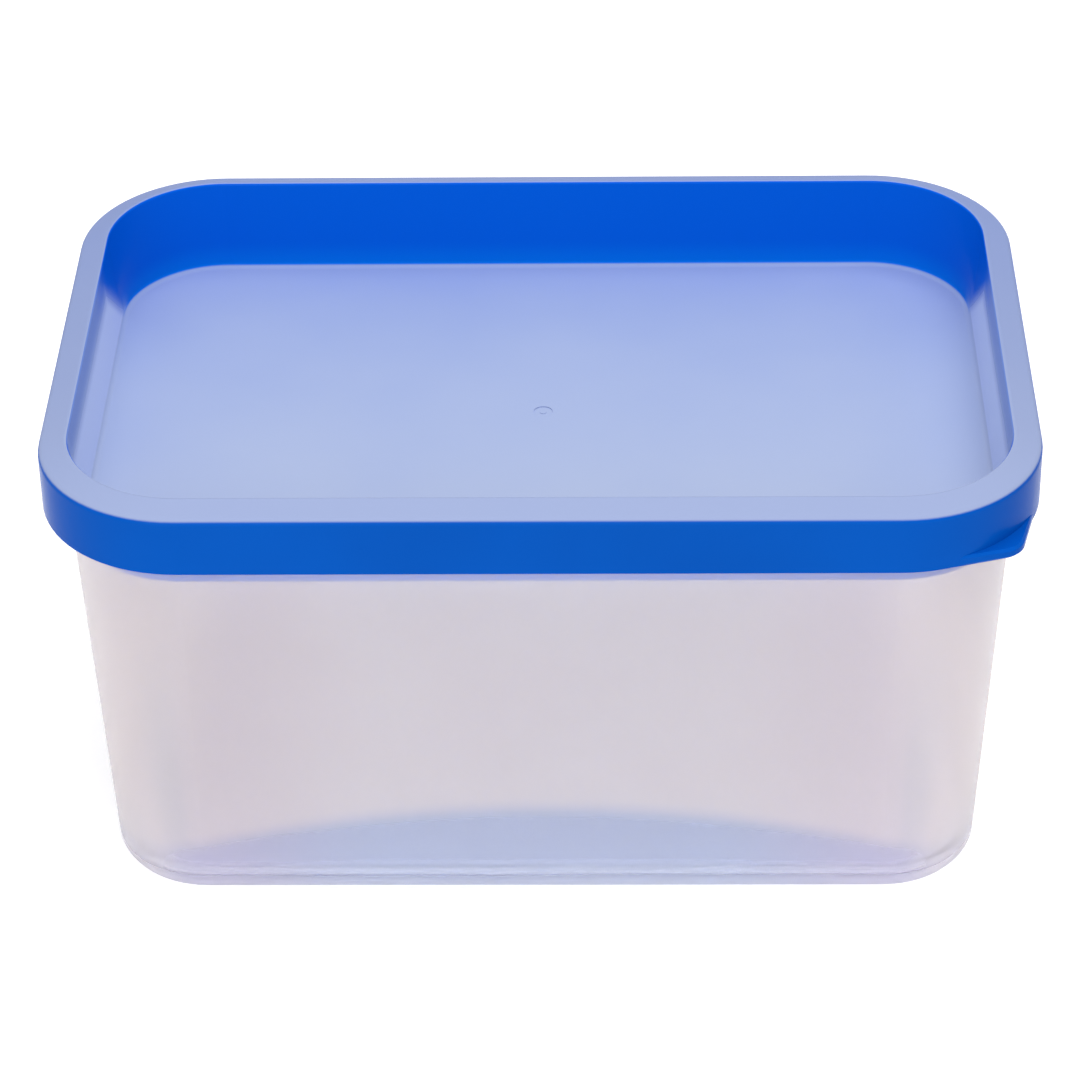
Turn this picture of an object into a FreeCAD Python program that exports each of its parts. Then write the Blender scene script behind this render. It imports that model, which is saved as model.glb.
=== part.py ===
import FreeCAD, Part
import math
import os
import Sketcher

# Food storage container: a hollow rounded-rectangular box and its press-on lid.
# Millimetres.  Origin: centre of the foot ring on the ground, +Z up, +X along
# the long side, -Y to the side nearest the lift tab.
# Every level is a height above the ground.  Every inset is measured inwards
# from the outline of the lid, so one closed path carries both walls.

V = FreeCAD.Vector
os.makedirs("parts", exist_ok=True)
doc = FreeCAD.newDocument("FoodContainer")

SIZES = (
    # outline of the lid, seen from above
    ("lid_length", 180.0),
    ("lid_width", 122.0),
    ("lid_corner", 26.5),
    # gaps that let the lid go on
    ("fit_gap", 0.3),
    ("plug_gap", 0.45),
    ("channel_gap", 0.8),
    # container: drafted walls, floor and foot ring
    ("box_height", 89.6),
    ("box_wall", 0.9),
    ("wall_draft", 3.9),
    ("base_round", 4.2),
    ("foot_width", 1.6),
    ("foot_height", 0.9),
    ("floor_thick", 1.3),
    ("floor_fillet", 6.5),
    ("flat_margin", 2.0),
    # container: flared mouth and rim flange
    ("mouth_depth", 10.3),
    ("flare_rise", 2.1),
    ("flare_step", 1.9),
    ("flange_depth", 2.8),
    ("flange_reach", 1.3),
    ("rim_edge", 0.5),
    # lid: recessed panel and the wall round it, which plugs the mouth
    ("recess_depth", 18.4),
    ("panel_thick", 1.1),
    ("plug_wall", 1.0),
    ("recess_fillet", 1.2),
    # lid: sloped rim top and the channel under it
    ("crest_rise", 3.0),
    ("crest_wall", 0.9),
    ("crest_round", 0.6),
    ("shoulder_rise", 1.1),
    ("shoulder_round", 1.4),
    ("channel_rise", 1.4),
    ("land_width", 1.7),
    # lid: skirt, snap bead inside it, seal bead on the plug
    ("skirt_depth", 10.3),
    ("skirt_wall", 1.2),
    ("skirt_edge", 0.4),
    ("snap_half", 0.9),
    ("snap_reach", 0.8),
    ("seal_depth", 2.9),
    ("seal_half", 1.2),
    # lid: lift tab on one corner
    ("tab_reach", 3.2),
    ("tab_nose", 5.0),
    ("tab_thick", 2.1),
    ("tab_bevel", 0.5),
    ("tab_root", 0.3),
    # moulding gates: a button under the floor, a nub in a dimple on the lid
    ("gate_radius", 2.0),
    ("gate_height", 0.4),
    ("dimple_radius", 1.8),
    ("dimple_depth", 0.2),
    ("nub_radius", 0.6),
    ("nub_height", 0.12),
)
VALUE = dict(SIZES)

sheet = doc.addObject("Spreadsheet::Sheet", "Sizes")
for row, (alias, number) in enumerate(SIZES, start=1):
    sheet.set("A%d" % row, alias)
    sheet.set("B%d" % row, str(number))
    sheet.setAlias("B%d" % row, alias)
doc.recompute()


class Size:
    """A length written once as cell names with factors: a number and an expression."""

    def __init__(self, **terms):
        self.terms = terms

    def __add__(self, other):
        total = dict(self.terms)
        for name, factor in other.terms.items():
            total[name] = total.get(name, 0) + factor
        return Size(**total)

    def __sub__(self, other):
        return self + other.times(-1)

    def times(self, factor):
        return Size(**{name: k * factor for name, k in self.terms.items()})

    def number(self):
        return sum(VALUE[name] * k for name, k in self.terms.items())

    def text(self):
        parts = ["%g * Sizes.%s" % (k, name) for name, k in self.terms.items() if k]
        return " + ".join(parts) if parts else "0"


def cell(name):
    return Size(**{name: 1})


ZERO = Size()
HALF_LENGTH = Size(lid_length=0.5)


def origin_plane(body, role):
    for feature in body.Origin.OriginFeatures:
        if feature.Role == role:
            return feature
    raise RuntimeError("no plane " + role)


def new_sketch(body, name, role, level=ZERO):
    sketch = body.newObject("Sketcher::SketchObject", name)
    sketch.AttachmentSupport = [(origin_plane(body, role), "")]
    sketch.MapMode = "FlatFace"
    if level.terms:
        sketch.AttachmentOffset = FreeCAD.Placement(V(0, 0, level.number()), FreeCAD.Rotation())
        sketch.setExpression("AttachmentOffset.Base.z", level.text())
    return sketch


def bind(sketch, name, constraint, size):
    """Add a driving dimension and tie it to the sheet."""
    sketch.renameConstraint(sketch.addConstraint(constraint), name)
    sketch.setExpression("Constraints." + name, size.text())


def arc(x, y, radius, start, end):
    circle = Part.Circle(V(x, y, 0), V(0, 0, 1), radius)
    return Part.ArcOfCircle(circle, math.radians(start), math.radians(end))


def rounded_outline(sketch, inset):
    """Rounded rectangle centred on the origin, `inset` inside the lid's outline."""
    C = Sketcher.Constraint
    length = cell("lid_length") - inset.times(2)
    width = cell("lid_width") - inset.times(2)
    corner = cell("lid_corner") - inset
    a = length.number() / 2
    b = width.number() / 2
    r = corner.number()
    shapes = (
        Part.LineSegment(V(a, r - b, 0), V(a, b - r, 0)),
        arc(a - r, b - r, r, 0, 90),
        Part.LineSegment(V(a - r, b, 0), V(r - a, b, 0)),
        arc(r - a, b - r, r, 90, 180),
        Part.LineSegment(V(-a, b - r, 0), V(-a, r - b, 0)),
        arc(r - a, r - b, r, 180, 270),
        Part.LineSegment(V(r - a, -b, 0), V(a - r, -b, 0)),
        arc(a - r, r - b, r, 270, 360),
    )
    g = [sketch.addGeometry(shape) for shape in shapes]
    for i in range(8):
        sketch.addConstraint(C("Tangent", g[i], 2, g[(i + 1) % 8], 1))
    for i in (3, 5, 7):
        sketch.addConstraint(C("Equal", g[1], g[i]))
    sketch.addConstraint(C("Vertical", g[0]))
    sketch.addConstraint(C("Horizontal", g[2]))
    sketch.addConstraint(C("Symmetric", g[0], 1, g[4], 1, -1, 1))
    bind(sketch, "length", C("DistanceX", g[4], 1, g[0], 1, 2 * a), length)
    bind(sketch, "width", C("DistanceY", g[6], 1, g[2], 1, 2 * b), width)
    bind(sketch, "corner", C("Radius", g[1], r), corner)


def profile(sketch, corners):
    """Closed section.  Each corner is (name, inset, level, rounding or None)."""
    C = Sketcher.Constraint
    count = len(corners)
    at = [V((HALF_LENGTH - c[1]).number(), c[2].number(), 0) for c in corners]
    ends = []
    for i, corner in enumerate(corners):
        before = (at[i - 1] - at[i]).normalize()
        after = (at[(i + 1) % count] - at[i]).normalize()
        if corner[3] is None:
            ends.append((at[i], at[i], None))
            continue
        half = before.getAngle(after) / 2
        radius = corner[3].number()
        reach = radius / math.tan(half)
        start = at[i] + before * reach
        end = at[i] + after * reach
        centre = at[i] + (before + after).normalize() * (radius / math.sin(half))
        middle = centre + (at[i] - centre).normalize() * radius
        ends.append((start, end, Part.Arc(start, middle, end)))
    lines = []
    for i in range(count):
        line = Part.LineSegment(ends[i][1], ends[(i + 1) % count][0])
        lines.append(sketch.addGeometry(line))
    for i, (name, inset, level, rounding) in enumerate(corners):
        into, out = lines[i - 1], lines[i]
        if rounding is None:
            sketch.addConstraint(C("Coincident", into, 2, out, 1))
            point = (out, 1)
        else:
            curve = sketch.addGeometry(ends[i][2])
            swap = (sketch.getPoint(curve, 1) - ends[i][0]).Length > 1e-6
            first, last = (2, 1) if swap else (1, 2)
            mark = sketch.addGeometry(Part.Point(at[i]), True)
            sketch.addConstraint(C("Tangent", into, 2, curve, first))
            sketch.addConstraint(C("Tangent", curve, last, out, 1))
            sketch.addConstraint(C("PointOnObject", mark, 1, into))
            sketch.addConstraint(C("PointOnObject", mark, 1, out))
            bind(sketch, name + "_round", C("Radius", curve, rounding.number()), rounding)
            point = (mark, 1)
        across = HALF_LENGTH - inset
        bind(sketch, name + "_x", C("DistanceX", -1, 1, point[0], point[1], at[i].x), across)
        bind(sketch, name + "_z", C("DistanceY", -1, 1, point[0], point[1], at[i].y), level)


def sweep(body, name, section, path):
    pipe = body.newObject("PartDesign::AdditivePipe", name)
    pipe.Profile = section
    pipe.Spine = (path, [])
    section.Visibility = False
    path.Visibility = False
    return pipe


def pad(body, name, sketch, height, downwards=False):
    feature = body.newObject("PartDesign::Pad", name)
    feature.Profile = sketch
    feature.Length = height.number()
    feature.setExpression("Length", height.text())
    feature.Reversed = downwards
    sketch.Visibility = False
    return feature


def disc(body, name, level, size):
    """Circle about the origin's Z axis, drawn at a level."""
    sketch = new_sketch(body, name, "XY_Plane", level)
    ring = sketch.addGeometry(Part.Circle(V(0, 0, 0), V(0, 0, 1), size.number()))
    sketch.addConstraint(Sketcher.Constraint("Coincident", ring, 3, -1, 1))
    bind(sketch, "radius", Sketcher.Constraint("Radius", ring, size.number()), size)
    return sketch


def pocket(body, name, sketch, depth):
    """Cut downwards from a sketch; stops the build if it removes nothing."""
    doc.recompute()
    before = body.Shape.Volume
    feature = body.newObject("PartDesign::Pocket", name)
    feature.Profile = sketch
    feature.Length = depth.number()
    feature.setExpression("Length", depth.text())
    sketch.Visibility = False
    doc.recompute()
    if not feature.Shape.Volume < before - 0.1:
        raise RuntimeError(name + " cuts nothing")
    return feature


def new_body(label):
    body = doc.addObject("PartDesign::Body", label.capitalize())
    body.Label = label
    body.Placement = FreeCAD.Placement(V(0, 0, 0), FreeCAD.Rotation())
    return body


# ------------------------------------------------- insets, from the skirt inwards
wall = cell("box_wall")
flange_inset = cell("skirt_wall") + cell("fit_gap")
mouth_inset = flange_inset + cell("flange_reach")
lip_inset = mouth_inset + wall
seal_inset = lip_inset + cell("fit_gap")
channel_inset = lip_inset + cell("channel_gap")
crest_inset = channel_inset + cell("crest_wall")
top_inset = mouth_inset + cell("flare_step")
waist_inset = top_inset + wall + cell("fit_gap")
plug_inset = top_inset + wall + cell("plug_gap")
recess_inset = plug_inset + cell("plug_wall")
base_inset = top_inset + cell("wall_draft")
foot_inset = base_inset + cell("base_round") + cell("foot_width")
floor_join = base_inset + wall + cell("floor_fillet") + cell("flat_margin")
panel_join = recess_inset + cell("recess_fillet") + cell("flat_margin")

# --------------------------------------------------- levels, from the seat of the lid
seat = cell("box_height")
flange_level = seat - cell("flange_depth")
flare_high = seat - cell("mouth_depth")
flare_low = flare_high - cell("flare_rise")
waist_level = flare_low + wall.times(0.8)
floor_level = cell("foot_height") + cell("floor_thick")
crest_level = seat + cell("crest_rise")
shoulder_level = seat + cell("shoulder_rise")
channel_level = seat + cell("channel_rise")
panel_level = crest_level - cell("recess_depth")
panel_under = panel_level - cell("panel_thick")
skirt_level = seat - cell("skirt_depth")
seal_level = seat - cell("seal_depth")
snap_level = flange_level - cell("fit_gap") - cell("snap_half")

# ---------------------------------------------------------------- container
box = new_body("container")

box_path = new_sketch(box, "BoxPath", "XY_Plane")
rounded_outline(box_path, ZERO)

edge = cell("rim_edge")
box_section = new_sketch(box, "BoxSection", "XZ_Plane")
profile(box_section, (
    ("under", floor_join, cell("foot_height"), None),
    ("foot_in", foot_inset + edge, cell("foot_height"), edge),
    ("foot_out", foot_inset, ZERO, edge),
    ("heel", base_inset, ZERO, cell("base_round")),
    ("flare_low", top_inset, flare_low, wall),
    ("flare_high", mouth_inset, flare_high, wall),
    ("flange_root", mouth_inset, flange_level, edge),
    ("flange_low", flange_inset, flange_level, edge),
    ("flange_high", flange_inset, seat, edge),
    ("lip", lip_inset, seat, edge),
    ("mouth_high", lip_inset, flare_high + wall, wall),
    ("mouth_low", top_inset + wall, waist_level, wall),
    ("floor_in", base_inset + wall, floor_level, cell("floor_fillet")),
    ("floor_end", floor_join, floor_level, None),
))
sweep(box, "Walls", box_section, box_path)

floor_outline = new_sketch(box, "FloorOutline", "XY_Plane", cell("foot_height"))
rounded_outline(floor_outline, floor_join - edge)
pad(box, "Floor", floor_outline, cell("floor_thick"))
box_gate = disc(box, "GateCircle", cell("foot_height"), cell("gate_radius"))
box.Tip = pad(box, "Gate", box_gate, cell("gate_height"), downwards=True)

# ---------------------------------------------------------------------- lid
lid = new_body("lid")

lid_path = new_sketch(lid, "LidPath", "XY_Plane")
rounded_outline(lid_path, ZERO)

skin = cell("skirt_edge")
skirt_wall = cell("skirt_wall")
land_inset = skirt_wall + cell("land_width")
# the seal bead stands on the drafted outer face of the plug, above its waist,
# which clears the narrow end of the container's flare
plug_rise = (channel_level - waist_level).number()
seal_share = (seal_level - waist_level).number() / plug_rise
seal_lean = (waist_inset - channel_inset).times(cell("seal_half").number() / plug_rise)
seal_root = waist_inset.times(1 - seal_share) + channel_inset.times(seal_share)
lid_section = new_sketch(lid, "LidSection", "XZ_Plane")
profile(lid_section, (
    ("under", panel_join, panel_under, None),
    ("plug_foot", plug_inset, panel_under, cell("recess_fillet") + cell("plug_wall")),
    ("plug_waist", waist_inset, waist_level, None),
    ("seal_low", seal_root + seal_lean, seal_level - cell("seal_half"), None),
    ("seal_tip", seal_inset, seal_level, skin),
    ("seal_high", seal_root - seal_lean, seal_level + cell("seal_half"), None),
    ("channel_in", channel_inset, channel_level, skin),
    ("channel_out", land_inset + skin, channel_level, skin),
    ("land", land_inset, seat, skin),
    ("skirt_top", skirt_wall, seat, skin),
    ("snap_high", skirt_wall, snap_level + cell("snap_half"), None),
    ("snap_tip", skirt_wall + cell("snap_reach"), snap_level, skin),
    ("snap_low", skirt_wall, snap_level - cell("snap_half"), None),
    ("skirt_in", skirt_wall, skirt_level, skin),
    ("skirt_out", ZERO, skirt_level, skin),
    ("shoulder", ZERO, shoulder_level, cell("shoulder_round")),
    ("crest", crest_inset, crest_level, cell("crest_round")),
    ("recess_foot", recess_inset, panel_level, cell("recess_fillet")),
    ("panel_end", panel_join, panel_level, None),
))
sweep(lid, "Rim", lid_section, lid_path)

panel_outline = new_sketch(lid, "PanelOutline", "XY_Plane", panel_under)
rounded_outline(panel_outline, panel_join - skin)
pad(lid, "Panel", panel_outline, cell("panel_thick"))


def tab_outline(sketch, shrink):
    """Rounded lobe past one corner of the skirt, mirrored about the corner's diagonal."""
    C = Sketcher.Constraint
    root = cell("lid_corner") - cell("tab_root")
    inner = root - cell("tab_root")
    nose = cell("tab_nose") - shrink
    out = (cell("lid_corner") + cell("tab_reach") - cell("tab_nose")).times(math.sqrt(0.5))
    mid_x = HALF_LENGTH - cell("lid_corner")
    mid_y = Size(lid_width=0.5) - cell("lid_corner")
    mid = V(mid_x.number(), -mid_y.number(), 0)
    tip = mid + V(out.number(), -out.number(), 0)
    spread = math.degrees(math.acos((root - nose).number() / (tip - mid).Length))
    low, high = -45 - spread, -45 + spread

    def ray(start, radius, angle):
        turn = math.radians(angle)
        return start + V(math.cos(turn), math.sin(turn), 0) * radius

    root_low = ray(mid, root.number(), low)
    root_high = ray(mid, root.number(), high)
    inner_low = ray(mid, inner.number(), low)
    inner_high = ray(mid, inner.number(), high)
    nose_low = ray(tip, nose.number(), low)
    nose_high = ray(tip, nose.number(), high)
    centre = sketch.addGeometry(Part.Point(mid), True)
    side_low = sketch.addGeometry(Part.LineSegment(root_low, nose_low))
    nose_arc = sketch.addGeometry(arc(tip.x, tip.y, nose.number(), low, high))
    side_high = sketch.addGeometry(Part.LineSegment(nose_high, root_high))
    step_high = sketch.addGeometry(Part.LineSegment(root_high, inner_high))
    back_arc = sketch.addGeometry(arc(mid.x, mid.y, inner.number(), low, high))
    step_low = sketch.addGeometry(Part.LineSegment(inner_low, root_low))
    ring = sketch.addGeometry(Part.Circle(mid, V(0, 0, 1), root.number()), True)
    bind(sketch, "corner_x", C("DistanceX", -1, 1, centre, 1, mid.x), mid_x)
    bind(sketch, "corner_y", C("DistanceY", centre, 1, -1, 1, -mid.y), mid_y)
    sketch.addConstraint(C("Coincident", back_arc, 3, centre, 1))
    sketch.addConstraint(C("Coincident", ring, 3, centre, 1))
    bind(sketch, "root", C("Radius", ring, root.number()), root)
    bind(sketch, "inner", C("Radius", back_arc, inner.number()), inner)
    bind(sketch, "nose", C("Radius", nose_arc, nose.number()), nose)
    bind(sketch, "nose_x", C("DistanceX", centre, 1, nose_arc, 3, out.number()), out)
    bind(sketch, "nose_y", C("DistanceY", nose_arc, 3, centre, 1, out.number()), out)
    sketch.addConstraint(C("Tangent", side_low, 2, nose_arc, 1))
    sketch.addConstraint(C("Tangent", nose_arc, 2, side_high, 1))
    sketch.addConstraint(C("Coincident", side_high, 2, step_high, 1))
    sketch.addConstraint(C("Coincident", step_high, 2, back_arc, 2))
    sketch.addConstraint(C("Coincident", back_arc, 1, step_low, 1))
    sketch.addConstraint(C("Coincident", step_low, 2, side_low, 1))
    for side, step, end in ((side_low, step_low, 2), (side_high, step_high, 1)):
        sketch.addConstraint(C("PointOnObject", step, end, ring))
        sketch.addConstraint(C("PointOnObject", centre, 1, step))
        sketch.addConstraint(C("Perpendicular", side, step))


tab_bevel = cell("tab_bevel")
tab_top = skirt_level + cell("tab_thick")
tab_steps = (
    (skirt_level, tab_bevel),
    (skirt_level + tab_bevel, ZERO),
    (tab_top - tab_bevel, ZERO),
    (tab_top, tab_bevel),
)
tab_sketches = []
for step, (level, shrink) in enumerate(tab_steps, start=1):
    tab_sketches.append(new_sketch(lid, "TabOutline%d" % step, "XY_Plane", level))
    tab_outline(tab_sketches[-1], shrink)
    tab_sketches[-1].Visibility = False
tab = lid.newObject("PartDesign::AdditiveLoft", "Tab")
tab.Profile = tab_sketches[0]
tab.Sections = tab_sketches[1:]
tab.Ruled = True

dimple_floor = panel_level - cell("dimple_depth")
pocket(lid, "Dimple", disc(lid, "DimpleCircle", panel_level, cell("dimple_radius")),
       cell("dimple_depth"))
nub = disc(lid, "NubCircle", dimple_floor, cell("nub_radius"))
lid.Tip = pad(lid, "Nub", nub, cell("nub_height"))

for obj in (box, lid):
    doc.recompute()
    print(obj.Label, obj.Shape.isValid(), round(obj.Shape.Volume / 1000, 2), "cm3",
          len(obj.Shape.Faces), "faces", obj.Shape.optimalBoundingBox(False))
for obj in doc.Objects:
    bad = [s for s in obj.State if s in ("Invalid", "Error")]
    if bad:
        raise RuntimeError(obj.Name + " " + str(obj.State))
    if obj.TypeId == "Sketcher::SketchObject" and obj.solve() != 0:
        raise RuntimeError(obj.Name + " does not solve")
for obj in (box, lid):
    if obj.Shape.isNull() or not obj.Shape.isValid():
        raise RuntimeError(obj.Label + " is not a valid solid")
    obj.Shape.exportStep("parts/%s.step" % obj.Label)
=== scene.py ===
import math

import bpy
from mathutils import Matrix, Vector


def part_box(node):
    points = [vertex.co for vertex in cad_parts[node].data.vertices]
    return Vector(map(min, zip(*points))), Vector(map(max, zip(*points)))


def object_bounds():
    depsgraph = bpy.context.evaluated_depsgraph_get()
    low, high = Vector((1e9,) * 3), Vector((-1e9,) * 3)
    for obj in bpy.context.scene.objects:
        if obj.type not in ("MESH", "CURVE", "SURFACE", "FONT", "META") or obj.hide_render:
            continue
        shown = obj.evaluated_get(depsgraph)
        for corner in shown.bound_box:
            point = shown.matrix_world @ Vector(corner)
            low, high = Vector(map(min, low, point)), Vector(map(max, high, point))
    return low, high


# Lengths are in metres.  Colours are linear red, green, blue and alpha.

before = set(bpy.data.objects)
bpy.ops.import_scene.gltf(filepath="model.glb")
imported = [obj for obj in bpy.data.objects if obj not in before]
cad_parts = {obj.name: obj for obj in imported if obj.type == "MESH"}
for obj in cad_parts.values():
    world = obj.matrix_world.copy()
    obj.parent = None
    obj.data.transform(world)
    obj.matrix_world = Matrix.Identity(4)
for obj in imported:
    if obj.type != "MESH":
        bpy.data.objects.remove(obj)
cad_low, cad_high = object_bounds()
box_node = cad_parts["container"]
lid_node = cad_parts["lid"]
lid_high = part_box("lid")[1]

# ------------------------------------------------------------------ camera
CAMERA_AT = (0.0143, -0.6265, 0.4762)
CAMERA_DOWN = 34.547
CAMERA_TURN = 1.399
CAMERA_ROLL = -0.959
CAMERA_LENS = 131.41
CAMERA_SENSOR = 36.0
CLIP_NEAR = 0.01
CLIP_FAR = 20.0


def turn(degrees, axis):
    return Matrix.Rotation(math.radians(degrees), 4, axis)


camera = bpy.data.objects.new("camera", bpy.data.cameras.new("camera"))
camera.data.lens = CAMERA_LENS
camera.data.sensor_width = CAMERA_SENSOR
camera.data.clip_start = CLIP_NEAR
camera.data.clip_end = CLIP_FAR
camera.matrix_world = (
    Matrix.Translation(CAMERA_AT)
    @ turn(CAMERA_TURN, "Z") @ turn(90.0 - CAMERA_DOWN, "X") @ turn(CAMERA_ROLL, "Z")
)
bpy.context.scene.collection.objects.link(camera)
bpy.context.scene.camera = camera
bpy.context.scene.view_settings.view_transform = "Standard"

# ------------------------------------------------------------ node helpers
FALL = (1.0, 0.0)           # ends of a ramp that goes down
NOISE_SPAN = (0.3, 0.7)     # where most values of a noise lie


class Nodes:
    """Short hand for building one node tree."""

    def __init__(self, tree):
        self.tree = tree
        tree.nodes.clear()

    def plug(self, socket, value):
        """Link a socket to a node's output, or set it to a plain value."""
        if isinstance(value, bpy.types.NodeSocket):
            self.tree.links.new(value, socket)
        else:
            socket.default_value = value

    def add(self, kind, inputs=None, **settings):
        node = self.tree.nodes.new(kind)
        for name, value in settings.items():
            setattr(node, name, value)
        for name, value in (inputs or {}).items():
            self.plug(node.inputs[name], value)
        return node

    def math(self, operation, *values, clamp=False):
        node = self.add("ShaderNodeMath", dict(enumerate(values)), operation=operation)
        node.use_clamp = clamp
        return node.outputs[0]

    def plus(self, first, second, clamp=False):
        return self.math("ADD", first, second, clamp=clamp)

    def minus(self, first, second):
        return self.math("SUBTRACT", first, second)

    def times(self, first, second):
        return self.math("MULTIPLY", first, second)

    def larger(self, first, second):
        return self.math("MAXIMUM", first, second)

    def either_sign(self, value):
        return self.math("ABSOLUTE", value)

    def length(self, x, y):
        squares = self.plus(self.math("POWER", x, 2.0), self.math("POWER", y, 2.0))
        return self.math("SQRT", squares)

    def past(self, value, limit):
        """How far a coordinate lies beyond a limit on either side of zero."""
        return self.larger(self.minus(self.either_sign(value), limit), 0.0)

    def ramp(self, value, span, ends=(0.0, 1.0), smooth=True):
        """Go from one end to the other while the value crosses the span."""
        node = self.add("ShaderNodeMapRange", {
            "Value": value, "From Min": span[0], "From Max": span[1],
            "To Min": ends[0], "To Max": ends[1],
        })
        node.interpolation_type = "SMOOTHSTEP" if smooth else "LINEAR"
        return node.outputs["Result"]

    def blend(self, factor, first, second):
        """Mix two colours."""
        node = self.add("ShaderNodeMix", data_type="RGBA")
        for place, value in ((0, factor), (6, first), (7, second)):
            self.plug(node.inputs[place], value)
        return node.outputs[2]

    def mix_shaders(self, factor, first, second):
        return self.add("ShaderNodeMixShader", {0: factor, 1: first, 2: second}).outputs[0]

    def noise(self, vector, scale, detail=2.0, roughness=0.5):
        node = self.add("ShaderNodeTexNoise", {
            "Vector": vector, "Scale": scale, "Detail": detail, "Roughness": roughness,
        })
        return node.outputs["Fac"]

    def split(self, vector):
        return self.add("ShaderNodeSeparateXYZ", {"Vector": vector}).outputs

    def normal(self):
        return self.split(self.add("ShaderNodeNewGeometry").outputs["Normal"])

    def bump(self, height, strength, distance, under=None):
        inputs = {"Height": height, "Strength": strength, "Distance": distance}
        if under is not None:
            inputs["Normal"] = under
        return self.add("ShaderNodeBump", inputs).outputs["Normal"]

    def output(self, shader):
        self.add("ShaderNodeOutputMaterial", {"Surface": shader})


def material(name):
    made = bpy.data.materials.new(name)
    made.use_nodes = True
    return made, Nodes(made.node_tree)


def dress(obj, made):
    for slot in obj.material_slots:
        slot.material = made


# -------------------------------------------------------------- blue plastic
LID_CORNER = 0.0265         # radius of the lid's outline
RIM_WIDTH = 0.0054          # from the outline in to the crest
RECESS_DEPTH = 0.0182       # from the top of the crest down to the panel
CREST_BLEND = 0.0005
GATE_REACH = 0.0028         # radius round the dimple in the panel
GATE_BLEND = 0.0004

LIP_SPAN = (0.0130, 0.0150)         # round inner side of the crest, above the panel
LIP_SHARE = 0.30
MATT_SLOPE = (0.42, 0.72)           # normal's Z where the matt finish starts
RIM_TOP_SPAN = (0.0050, 0.0042)     # below the highest point of the lid

END_TURN_SPAN = (0.05, 0.30)        # normal's Y over its X, at the end of an end wall
END_STEEP_SPAN = (0.25, 0.75)       # normal's X, up the foot of an end wall
END_EVEN_OUT = 0.01                 # keeps that ratio finite
CLIMB_STOP_SPAN = (0.022, 0.036)    # Y where the painted reflection of the panel leaves the end walls
CLIMB_HEIGHT = 0.0118
CLIMB_BLEND = (-0.0020, 0.0042)
CLIMB_STEEP_SPAN = (0.05, 0.60)

PAINTED_FOOT_LIGHT_SPAN = (0.0, 0.006)            # lowest part of the recess wall, above the panel, where light is painted
PAINTED_REFLECTION_SPAN = (0.008, 0.026)          # Y where the painted reflection on the end walls stops
ALONG_SPAN = (-0.055, 0.055)        # Y from the front to the back of the top
ALONG_NOISE = (-0.08, 0.08)

SKIRT_COLOURS = (0.0006, 0.076, 0.415, 1), (0.0006, 0.084, 0.450, 1)
RECESS_HIGH = (0.0004, 0.100, 0.610, 1)
# painted light: the recess wall is lighter at its foot
RECESS_PAINTED_LIGHT = (0.0003, 0.145, 0.670, 1)
# painted reflection of the panel on the end walls of the recess
RECESS_PAINTED_REFLECTION = (0.160, 0.250, 0.580, 1)
# top colours, front then back: their paleness is partly, and their change from front to back
# wholly, painted reflection
PANEL_COLOURS_WITH_PAINTED_REFLECTION = (0.395, 0.455, 0.610, 1), (0.250, 0.325, 0.590, 1)
RIM_COLOURS_WITH_PAINTED_REFLECTION = (0.275, 0.330, 0.520, 1), (0.210, 0.270, 0.500, 1)
# painted reflection of the panel on the steep end walls, lighter than the panel to make up for
# their shade
PAINTED_PANEL_REFLECTION = (0.540, 0.630, 0.900, 1)

CLOUD_SCALE = 26.0
CLOUD_DETAIL = 3.0
GRAIN_SCALE = 2600.0
GRAIN_DETAIL = 2.0
GRAIN_ROUGHNESS = 0.6
GRAIN_STRENGTH = 0.25
GRAIN_DEPTH = 0.00006
WAVE_SCALE = 38.0
WAVE_DETAIL = 1.0
WAVE_STRENGTH = 0.15
WAVE_DEPTH = 0.0004

LID_ROUGHNESS = (0.24, 0.46)        # glossy walls, matt tops
END_SHEEN = 0.10
WAVE_ROUGHNESS = (-0.03, 0.03)
LID_SPECULAR = 0.03
LID_IOR = 1.49


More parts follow.
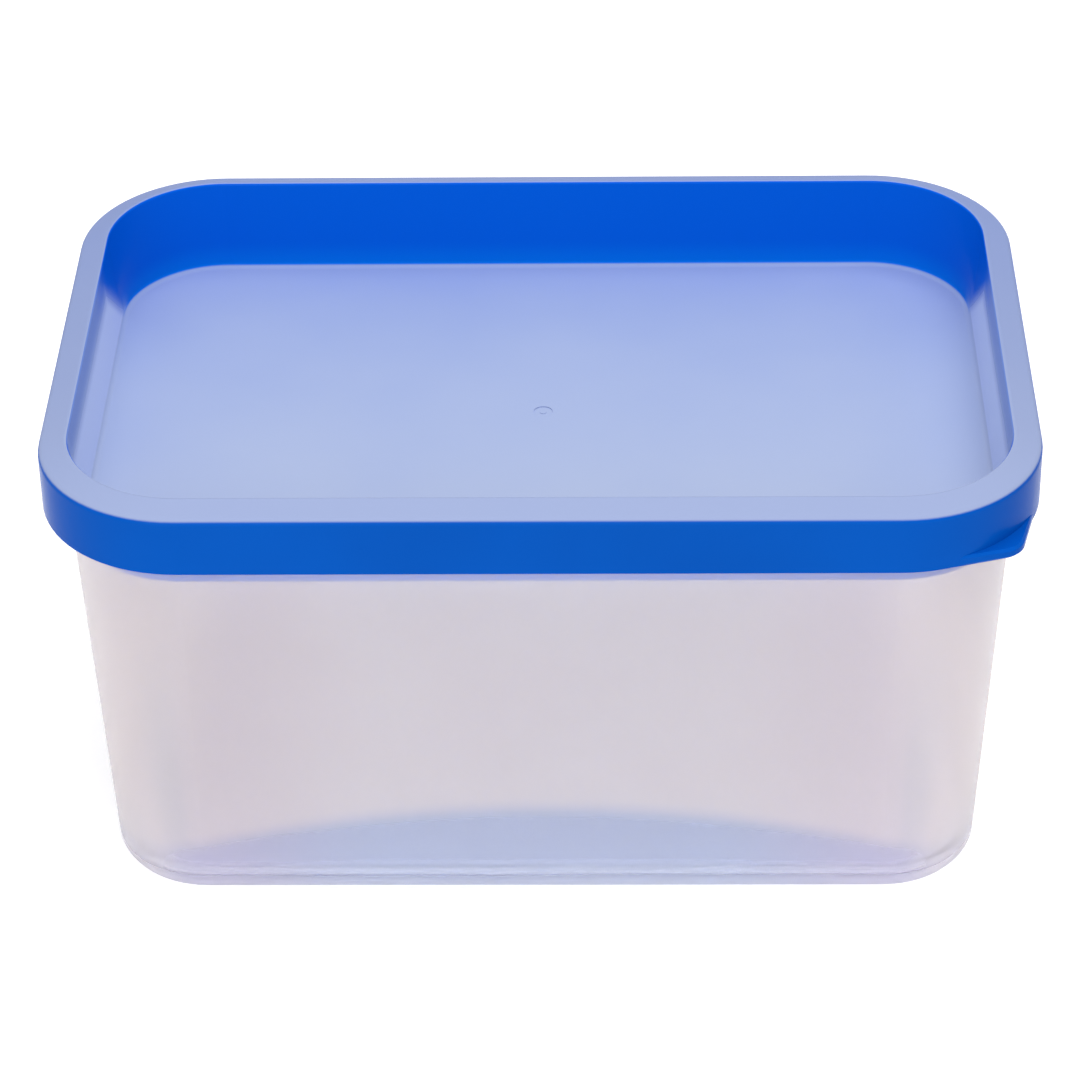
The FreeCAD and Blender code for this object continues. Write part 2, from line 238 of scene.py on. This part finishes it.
def blue_plastic():
    """Opaque blue lid: glossy upright walls, pale fine-matt flat and sloping tops whose paleness
    is partly painted reflection; painted light and painted reflection on the recess walls.
    """
    made, n = material("blue_plastic")
    place = n.add("ShaderNodeTexCoord").outputs["Object"]
    at = n.split(place)
    face = n.normal()

    # where the point lies: inside the crest's outline, and how far above the panel
    reach = n.length(
        n.past(at["X"], lid_high.x - LID_CORNER), n.past(at["Y"], lid_high.y - LID_CORNER))
    crest = LID_CORNER - RIM_WIDTH
    inside = n.ramp(reach, (crest, crest + CREST_BLEND), FALL)
    above = n.minus(at["Z"], lid_high.z - RECESS_DEPTH)

    # the matt finish covers what faces up, less of it on the round crest inside the rim; its pale
    # colour is partly a painted reflection of the overhead light
    lip = n.times(n.ramp(above, LIP_SPAN), inside)
    up = n.ramp(n.minus(face["Z"], n.times(lip, LIP_SHARE)), MATT_SLOPE)
    on_rim = n.ramp(at["Z"], [lid_high.z - drop for drop in RIM_TOP_SPAN])
    up = n.times(up, n.larger(on_rim, inside))

    # a painted reflection of the panel climbs the end walls of the recess, with the matt finish,
    # and stops short of the back corners
    sideways = n.either_sign(face["X"])
    across = n.either_sign(face["Y"])
    turned = n.math("DIVIDE", across, n.plus(sideways, END_EVEN_OUT))
    end_wall = n.ramp(turned, END_TURN_SPAN, FALL)
    end_wall = n.times(end_wall, n.ramp(sideways, END_STEEP_SPAN))
    end_wall = n.times(end_wall, inside)
    climb = n.ramp(at["Y"], CLIMB_STOP_SPAN, (CLIMB_HEIGHT, 0.0), smooth=False)
    climbed_painted_reflection = n.ramp(n.minus(above, climb), CLIMB_BLEND, FALL)
    climbed_painted_reflection = n.times(climbed_painted_reflection, end_wall)
    flat = n.larger(up, climbed_painted_reflection)

    # the dimple in the middle of the panel has the panel's finish, walls included
    gate = n.ramp(n.length(at["X"], at["Y"]), (GATE_REACH, GATE_REACH + GATE_BLEND), FALL)
    flat = n.larger(flat, gate)

    # colour of the upright walls: painted light at the foot of the recess, a painted reflection
    # of the panel at its ends
    cloud = n.noise(place, CLOUD_SCALE, CLOUD_DETAIL)
    skirt = n.blend(n.ramp(cloud, NOISE_SPAN), *SKIRT_COLOURS)
    recess = n.blend(n.ramp(above, PAINTED_FOOT_LIGHT_SPAN, FALL), RECESS_HIGH, RECESS_PAINTED_LIGHT)
    painted_end_reflection = n.times(end_wall, n.ramp(at["Y"], PAINTED_REFLECTION_SPAN, FALL))
    recess = n.blend(painted_end_reflection, recess, RECESS_PAINTED_REFLECTION)
    wall = n.blend(inside, skirt, recess)

    # colour of the matt faces: a painted reflection makes them greyer to the front, bluer to the
    # back, with random tone from the noise
    painted_reflection_along = n.ramp(at["Y"], ALONG_SPAN, smooth=False)
    painted_reflection_along = n.plus(painted_reflection_along, n.ramp(cloud, NOISE_SPAN, ALONG_NOISE, smooth=False), clamp=True)
    top = n.blend(inside, n.blend(painted_reflection_along, *RIM_COLOURS_WITH_PAINTED_REFLECTION), n.blend(painted_reflection_along, *PANEL_COLOURS_WITH_PAINTED_REFLECTION))
    # painted reflection of the panel on the steep end walls, lighter than the panel to make up
    # for their shade
    steep_painted_reflection = n.times(climbed_painted_reflection, n.ramp(face["Z"], CLIMB_STEEP_SPAN, FALL))
    top = n.blend(steep_painted_reflection, top, PAINTED_PANEL_REFLECTION)

    grain = n.noise(place, GRAIN_SCALE, GRAIN_DETAIL, GRAIN_ROUGHNESS)
    wave = n.noise(place, WAVE_SCALE, WAVE_DETAIL)
    rough = n.ramp(flat, (0.0, 1.0), LID_ROUGHNESS, smooth=False)
    rough = n.minus(rough, n.times(end_wall, END_SHEEN))
    rough = n.plus(rough, n.ramp(wave, NOISE_SPAN, WAVE_ROUGHNESS, smooth=False))
    fine = n.bump(n.times(grain, flat), GRAIN_STRENGTH, GRAIN_DEPTH)
    n.output(n.add("ShaderNodeBsdfPrincipled", {
        "Base Color": n.blend(flat, wall, top), "Roughness": rough,
        "Normal": n.bump(wave, WAVE_STRENGTH, WAVE_DEPTH, fine),
        "Specular IOR Level": LID_SPECULAR, "IOR": LID_IOR,
    }).outputs[0])
    return made


# ------------------------------------------------------------- milky plastic
BOW_REACH = 0.080                   # X at which the painted pool of blue light is lower by BOW_DROP
BOW_DROP = 0.014
POOL_TOP_SPAN = (0.0180, 0.0240)    # height of the painted pool's edge in the middle
POOL_FOOT_SPAN = (0.0010, 0.0035)
POOL_FOOT_SHARE = (0.75, 1.0)
POOL_END_SPAN = (0.066, 0.0755)
POOL_END_SHARE = (1.0, 0.30)
OUTER_SPAN = (0.030, 0.064)         # X from the middle to the outer part of a long wall

CORNER_START_SPAN = (0.02, 0.25)    # normal's X where the painted shade of a corner starts
CORNER_END_SPAN = (0.30, 0.62)      # and where it ends
CORNER_HEIGHT_SPAN = (0.022, 0.066)
TOE_SPAN = (0.064, 0.073)           # X of the corners of the foot
TOE_HEIGHT_SPAN = (0.004, 0.022)

CLEAR_MIDDLE = (0.999, 0.984, 0.968, 1)
# painted shade: darker towards the outer part of a long wall
CLEAR_OUTER_PAINTED_SHADE = (0.990, 0.970, 0.960, 1)
# painted shade at the corners
CLEAR_PAINTED_SHADE = (0.955, 0.945, 0.945, 1)
# painted pool of blue light, middle then outer part of a long wall
CLEAR_PAINTED_POOL = (0.855, 0.893, 0.970, 1), (0.865, 0.868, 0.950, 1)
MILK_MIDDLE = (0.993, 0.900, 0.866, 1), (0.999, 0.915, 0.881, 1)
MILK_OUTER_PAINTED_SHADE = (0.91, 0.825, 0.815, 1)
MILK_PAINTED_SHADE = (0.84, 0.79, 0.80, 1)
MILK_PAINTED_POOL = (0.640, 0.690, 0.850, 1), (0.660, 0.640, 0.790, 1)

HAZE_SCALE = 45.0
HAZE_ROUGHNESS = (0.16, 0.20)
FOOT_SPAN = (0.0010, 0.0070)
FOOT_ROUGHNESS = (0.25, 0.0)
BOX_GRAIN_SCALE = 1400.0
BOX_GRAIN_STRENGTH = 0.05
BOX_GRAIN_DEPTH = 0.00002
BOX_IOR = 1.45
BOX_SPECULAR = 0.5
MILK_SHARE = 0.30
MILK_BACK_SHARE = 0.5               # of the milk's light, what goes on through the wall
SHADOW_CLEARNESS = 0.92
SHADOW_TINT = (0.95, 0.94, 0.95, 1)


def milky_plastic():
    """Natural polypropylene: a soft even haze, through which the far side just shows; a painted
    pool of blue light over the foot of the walls, and painted shade at the corners and towards
    the ends.
    """
    made, n = material("milky_plastic")
    place = n.add("ShaderNodeTexCoord").outputs["Object"]
    at = n.split(place)
    face = n.normal()
    haze = n.noise(place, HAZE_SCALE)
    grain = n.bump(n.noise(place, BOX_GRAIN_SCALE), BOX_GRAIN_STRENGTH, BOX_GRAIN_DEPTH)

    # a painted pool of blue light over the foot of each wall, highest in the middle of a long
    # wall
    bow = n.times(n.math("POWER", n.math("DIVIDE", at["X"], BOW_REACH), 2.0), BOW_DROP)
    painted_blue_pool = n.ramp(n.plus(at["Z"], bow), POOL_TOP_SPAN, FALL)
    painted_blue_pool = n.times(painted_blue_pool, n.ramp(at["Z"], POOL_FOOT_SPAN, POOL_FOOT_SHARE))
    from_middle = n.either_sign(at["X"])
    painted_blue_pool = n.times(painted_blue_pool, n.ramp(from_middle, POOL_END_SPAN, POOL_END_SHARE))
    outer = n.ramp(from_middle, OUTER_SPAN)

    # painted shade: the corners are greyer towards the foot, and so are the corners of the foot
    sideways = n.either_sign(face["X"])
    corner = n.times(n.ramp(sideways, CORNER_START_SPAN), n.ramp(sideways, CORNER_END_SPAN, FALL))
    corner = n.times(corner, n.ramp(at["Z"], CORNER_HEIGHT_SPAN, FALL))
    painted_toe_shade = n.times(n.ramp(from_middle, TOE_SPAN), n.ramp(at["Z"], TOE_HEIGHT_SPAN, FALL))
    corner = n.larger(corner, painted_toe_shade)

    # painted shade towards the ends and at the corners, then the painted pool of blue light
    clear_colour = n.blend(outer, CLEAR_MIDDLE, CLEAR_OUTER_PAINTED_SHADE)
    clear_colour = n.blend(corner, clear_colour, CLEAR_PAINTED_SHADE)
    clear_colour = n.blend(painted_blue_pool, clear_colour, n.blend(outer, *CLEAR_PAINTED_POOL))
    milk_colour = n.blend(n.ramp(haze, NOISE_SPAN), *MILK_MIDDLE)
    milk_colour = n.blend(outer, milk_colour, MILK_OUTER_PAINTED_SHADE)
    milk_colour = n.blend(corner, milk_colour, MILK_PAINTED_SHADE)
    milk_colour = n.blend(painted_blue_pool, milk_colour, n.blend(outer, *MILK_PAINTED_POOL))

    rough = n.ramp(haze, NOISE_SPAN, HAZE_ROUGHNESS, smooth=False)
    rough = n.plus(rough, n.ramp(at["Z"], FOOT_SPAN, FOOT_ROUGHNESS))
    clear = n.add("ShaderNodeBsdfPrincipled", {
        "Base Color": clear_colour, "Roughness": rough, "Normal": grain,
        "Transmission Weight": 1.0, "IOR": BOX_IOR, "Specular IOR Level": BOX_SPECULAR,
    }).outputs[0]
    milk_inputs = {"Color": milk_colour, "Normal": grain}
    scatter = n.add("ShaderNodeBsdfDiffuse", milk_inputs).outputs[0]
    through = n.add("ShaderNodeBsdfTranslucent", milk_inputs).outputs[0]
    milk = n.mix_shaders(MILK_BACK_SHARE, scatter, through)
    body = n.mix_shaders(MILK_SHARE, clear, milk)

    # light gets in and out through the thin wall
    shadow = n.add("ShaderNodeLightPath").outputs["Is Shadow Ray"]
    thin = n.add("ShaderNodeBsdfTransparent", {"Color": SHADOW_TINT}).outputs[0]
    n.output(n.mix_shaders(n.times(shadow, SHADOW_CLEARNESS), body, thin))
    return made


dress(lid_node, blue_plastic())
dress(box_node, milky_plastic())

# ---------------------------------------------------------- floor and light
FLOOR_HALF = 3.0
FLOOR_COLOUR = (0.82, 0.82, 0.82, 1)
FLOOR_GLOW = 0.35
WHITE = (1, 1, 1, 1)
AMBIENT = 0.55
AIM_POINT = (0.0, 0.0, 0.05)


def shows_white(n):
    """1 for the rays that see the background, 0 for those that light the object."""
    path = n.add("ShaderNodeLightPath").outputs
    seen = n.larger(path["Is Camera Ray"], path["Is Glossy Ray"])
    return n.larger(seen, path["Is Transmission Ray"])


def floor_material():
    made, n = material("floor")
    matt = n.add("ShaderNodeBsdfDiffuse", {"Color": FLOOR_COLOUR}).outputs[0]
    glow = n.add("ShaderNodeEmission", {
        "Color": WHITE, "Strength": n.times(shows_white(n), FLOOR_GLOW),
    }).outputs[0]
    n.output(n.add("ShaderNodeAddShader", {0: matt, 1: glow}).outputs[0])
    return made


floor_corners = [
    (x * FLOOR_HALF, y * FLOOR_HALF, cad_low.z)
    for x, y in ((-1, -1), (1, -1), (1, 1), (-1, 1))
]
floor_mesh = bpy.data.meshes.new("floor")
floor_mesh.from_pydata(floor_corners, [], [(0, 1, 2, 3)])
floor = bpy.data.objects.new("floor", floor_mesh)
floor.data.materials.append(floor_material())
bpy.context.scene.collection.objects.link(floor)

world = bpy.data.worlds.new("studio")
world.use_nodes = True
sky = Nodes(world.node_tree)
strength = sky.plus(AMBIENT, sky.times(shows_white(sky), 1.0 - AMBIENT))
background = sky.add("ShaderNodeBackground", {"Color": WHITE, "Strength": strength})
sky.add("ShaderNodeOutputWorld", {"Surface": background.outputs[0]})
bpy.context.scene.world = world


def softbox(name, place, size, watts):
    lamp = bpy.data.lights.new(name, "AREA")
    lamp.shape = "SQUARE"
    lamp.size = size
    lamp.energy = watts
    made = bpy.data.objects.new(name, lamp)
    made.location = place
    aim = Vector(AIM_POINT) - Vector(place)
    made.rotation_euler = aim.to_track_quat("-Z", "Y").to_euler()
    bpy.context.scene.collection.objects.link(made)


softbox("key", place=(0.15, -0.10, 1.3), size=1.2, watts=14.0)
softbox("fill", place=(-0.3, -1.3, 0.5), size=1.0, watts=8.0)
